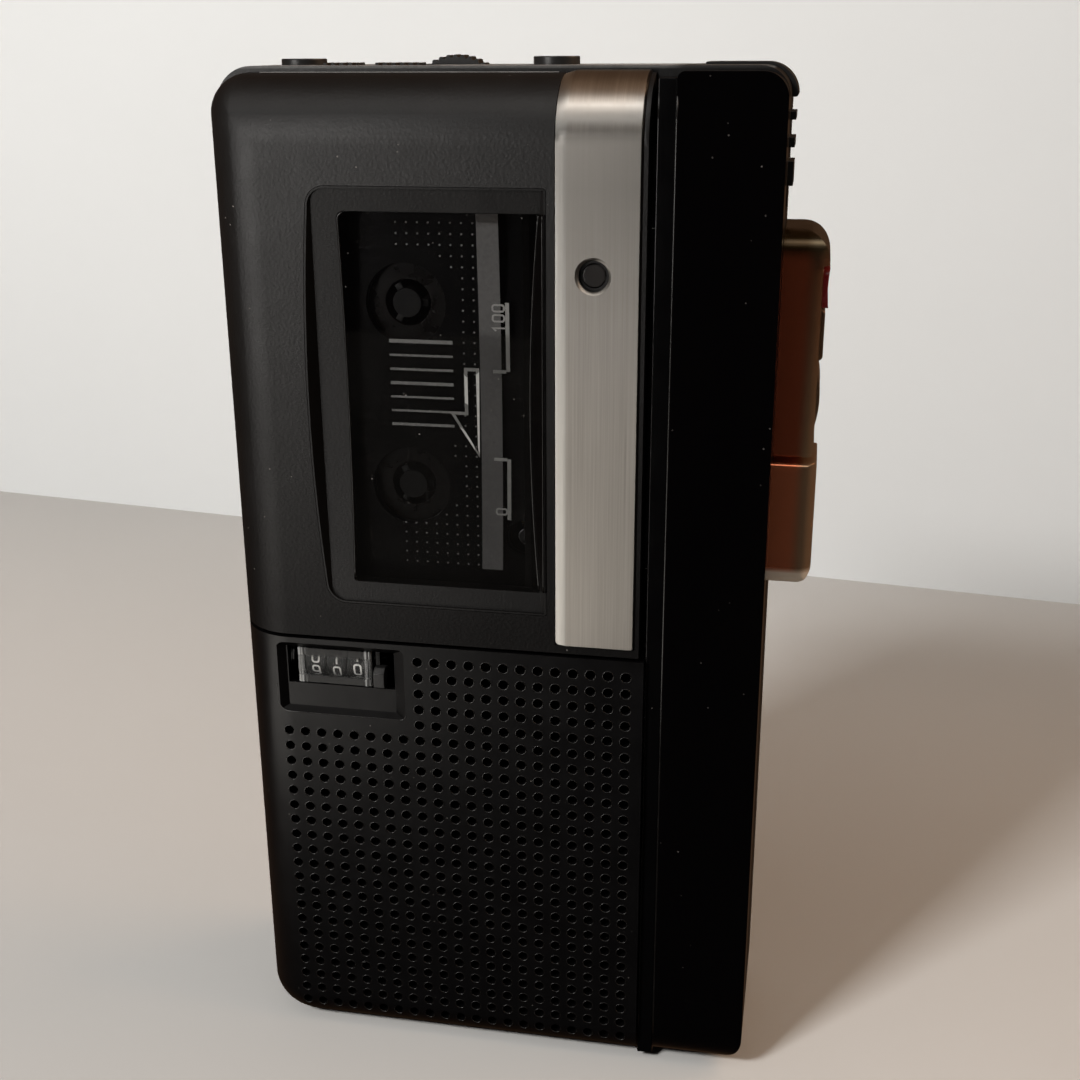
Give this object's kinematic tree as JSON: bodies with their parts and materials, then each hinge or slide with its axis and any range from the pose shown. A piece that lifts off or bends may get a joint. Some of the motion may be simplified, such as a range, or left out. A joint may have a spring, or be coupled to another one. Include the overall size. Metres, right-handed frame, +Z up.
{
  "type": "microcassette recorder",
  "caption": "Pocket microcassette recorder with a hinged cassette door, perforated speaker panel, tape counter, side keys, top wheel and jacks.",
  "frame": {"origin": "centre of the bounding box at the base the recorder stands on", "axes": "+Z up along the body, +X towards the key side, +Y from the front to the back"},
  "size_m": [0.0662, 0.024, 0.1177],
  "materials": {
    "frame_black": "satin black moulding",
    "panel_black": "satin black moulding with fine grain",
    "gloss_black": "polished black",
    "case_black": "fine-grain black moulding",
    "screw_steel": "zinc plated",
    "door_black": "grained black moulding",
    "bezel_black": "smooth satin black",
    "smoked_pane": "smoked clear plastic",
    "brushed_trim": "vertically brushed, polished bevel",
    "lens_grey": "dull clear plastic",
    "pin_steel": "ground steel",
    "key_bronze": "metallised dark bronze",
    "key_red": "glossy dark red",
    "spring_steel": "bright spring steel",
    "control_black": "black moulding",
    "inner_grey": "grey moulding",
    "inner_steel": "plated sheet",
    "jack_black": "black moulding",
    "clear_lens": "clear plastic",
    "drum_black": "black with white numbers",
    "felt": "black dust felt",
    "cone_paper": "black paper cone",
    "deck_steel": "zinc plated sheet",
    "brass": "turned brass",
    "belt_rubber": "black rubber",
    "spindle_white": "white acetal",
    "head_steel": "polished",
    "cassette_grey": "dark grey moulding",
    "tape_brown": "brown tape",
    "board": "brown board with parts",
    "battery_sleeve": "plain dark sleeve",
    "lamp_red": "red lamp"
  },
  "bodies": {
    "case": {"front_frame": "frame_black", "speaker_panel": "panel_black", "side_panel": "gloss_black", "rear_case": "case_black", "case_screws": "screw_steel", "key_guard": "key_bronze", "key_spring_comb": "spring_steel", "volume_pot": "inner_grey", "switch_bodies": "inner_steel", "mic_jack": "jack_black", "ear_jack": "jack_black", "mic_cap": "control_black", "microphone": "inner_steel", "counter_frame": "frame_black", "counter_lens": "clear_lens", "grille_felt": "felt", "speaker_frame": "inner_steel", "speaker_cone": "cone_paper", "deck_plate": "deck_steel", "motor": "inner_steel", "drive_belt": "belt_rubber", "capstan_bearing": "brass", "cassette_shell": "cassette_grey", "tape_run": "tape_brown", "circuit_board": "board", "batteries": "battery_sleeve", "battery_contacts": "spring_steel", "rec_led": "lamp_red"},
    "door": {"door_shell": "door_black", "window_bezel": "bezel_black", "door_window": "smoked_pane", "trim_strip": "brushed_trim", "led_lens": "lens_grey", "hinge_pins": "pin_steel", "door_latch": "frame_black"},
    "battery_lid": {"battery_cover": "case_black"},
    "record_key": {"rec_key": "key_red"},
    "play": {"play_key": "key_bronze"},
    "wind": {"wind_rocker": "key_bronze"},
    "stop": {"stop_key": "key_bronze"},
    "pause": {"pause_slider": "control_black"},
    "volume": {"volume_wheel": "control_black"},
    "speed": {"speed_switch": "control_black"},
    "voice": {"voice_switch": "control_black"},
    "reset": {"reset_button": "control_black"},
    "drum_units": {"counter_drum_units": "drum_black", "counter_shaft": "pin_steel"},
    "drum_tens": {"counter_drum_tens": "drum_black"},
    "drum_hundreds": {"counter_drum_hundreds": "drum_black"},
    "flywheel": {"flywheel": "brass", "capstan": "pin_steel"},
    "motor_shaft": {"motor_pulley": "brass"},
    "takeup": {"takeup_spindle": "spindle_white", "takeup_reel": "tape_brown"},
    "supply": {"supply_spindle": "spindle_white", "supply_reel": "tape_brown"},
    "head_slide": {"head_plate": "deck_steel", "tape_heads": "head_steel"},
    "roller": {"pinch_roller": "belt_rubber"}
  },
  "joints": [
    {"name": "door_hinge", "type": "hinge", "parent": "case", "child": "door", "pos_m": [-0.03225, -0.004, 0.085], "axis": [0, 0, -1], "range_deg": [0, 85]},
    {"name": "battery_lid_slide", "type": "slide", "parent": "case", "child": "battery_lid", "axis": [0, 0, -1], "range_m": [0, 0.057]},
    {"name": "record_press", "type": "slide", "parent": "case", "child": "record_key", "axis": [-1, 0, 0], "range_m": [0, 0.0016], "stiffness_N_per_m": 800},
    {"name": "play_press", "type": "slide", "parent": "case", "child": "play", "axis": [-1, 0, 0], "range_m": [0, 0.0019], "stiffness_N_per_m": 800},
    {"name": "wind_rock", "type": "hinge", "parent": "case", "child": "wind", "pos_m": [0.0302, 0.0008, 0.0826], "axis": [0, 1, 0], "range_deg": [-6, 6], "stiffness_Nm_per_rad": 0.08},
    {"name": "stop_press", "type": "slide", "parent": "case", "child": "stop", "axis": [-1, 0, 0], "range_m": [0, 0.0022], "stiffness_N_per_m": 800},
    {"name": "pause_slide", "type": "slide", "parent": "case", "child": "pause", "axis": [0, 0, -1], "range_m": [0, 0.0022]},
    {"name": "volume_turn", "type": "hinge", "parent": "case", "child": "volume", "pos_m": [-0.00835, 0.0048, 0.1117], "axis": [0, 1, 0], "range_deg": [-135, 135]},
    {"name": "speed_slide", "type": "slide", "parent": "case", "child": "speed", "axis": [-1, 0, 0], "range_m": [0, 0.0012]},
    {"name": "voice_slide", "type": "slide", "parent": "case", "child": "voice", "axis": [1, 0, 0], "range_m": [0, 0.0016]},
    {"name": "reset_press", "type": "slide", "parent": "case", "child": "reset", "axis": [0, 1, 0], "range_m": [0, 0.0006], "stiffness_N_per_m": 600},
    {"name": "flywheel_spin", "type": "hinge", "parent": "case", "child": "flywheel", "pos_m": [0.00137, 0, 0.0665], "axis": [0, -1, 0], "continuous": true},
    {"name": "motor_spin", "type": "hinge", "parent": "case", "child": "motor_shaft", "pos_m": [0.0145, 0.006, 0.042], "axis": [0, -1, 0], "continuous": true},
    {"name": "takeup_spin", "type": "hinge", "parent": "case", "child": "takeup", "pos_m": [-0.0115, 0, 0.072], "axis": [0, -1, 0], "continuous": true},
    {"name": "supply_spin", "type": "hinge", "parent": "case", "child": "supply", "pos_m": [-0.0115, 0, 0.0924], "axis": [0, -1, 0], "continuous": true},
    {"name": "units_spin", "type": "hinge", "parent": "case", "child": "drum_units", "pos_m": [-0.01848, -0.0072, 0.05], "axis": [1, 0, 0], "continuous": true},
    {"name": "tens_spin", "type": "hinge", "parent": "case", "child": "drum_tens", "pos_m": [-0.02103, -0.0072, 0.05], "axis": [1, 0, 0], "continuous": true},
    {"name": "hundreds_spin", "type": "hinge", "parent": "case", "child": "drum_hundreds", "pos_m": [-0.02358, -0.0072, 0.05], "axis": [1, 0, 0], "continuous": true},
    {"name": "head_slide_move", "type": "slide", "parent": "case", "child": "head_slide", "axis": [-1, 0, 0], "range_m": [0, 0.0022]},
    {"name": "roller_spin", "type": "hinge", "parent": "head_slide", "child": "roller", "pos_m": [0.00765, -0.005, 0.0665], "axis": [0, -1, 0], "continuous": true}
  ],
  "couplings": [
    {"joint": "head_slide_move", "follows": "play_press", "ratio": 1},
    {"joint": "motor_spin", "follows": "flywheel_spin", "ratio": 3},
    {"joint": "takeup_spin", "follows": "flywheel_spin", "ratio": -0.4},
    {"joint": "supply_spin", "follows": "flywheel_spin", "ratio": -0.277},
    {"joint": "units_spin", "follows": "flywheel_spin", "ratio": -0.2},
    {"joint": "tens_spin", "follows": "flywheel_spin", "ratio": -0.02},
    {"joint": "hundreds_spin", "follows": "flywheel_spin", "ratio": -0.002}
  ]
}
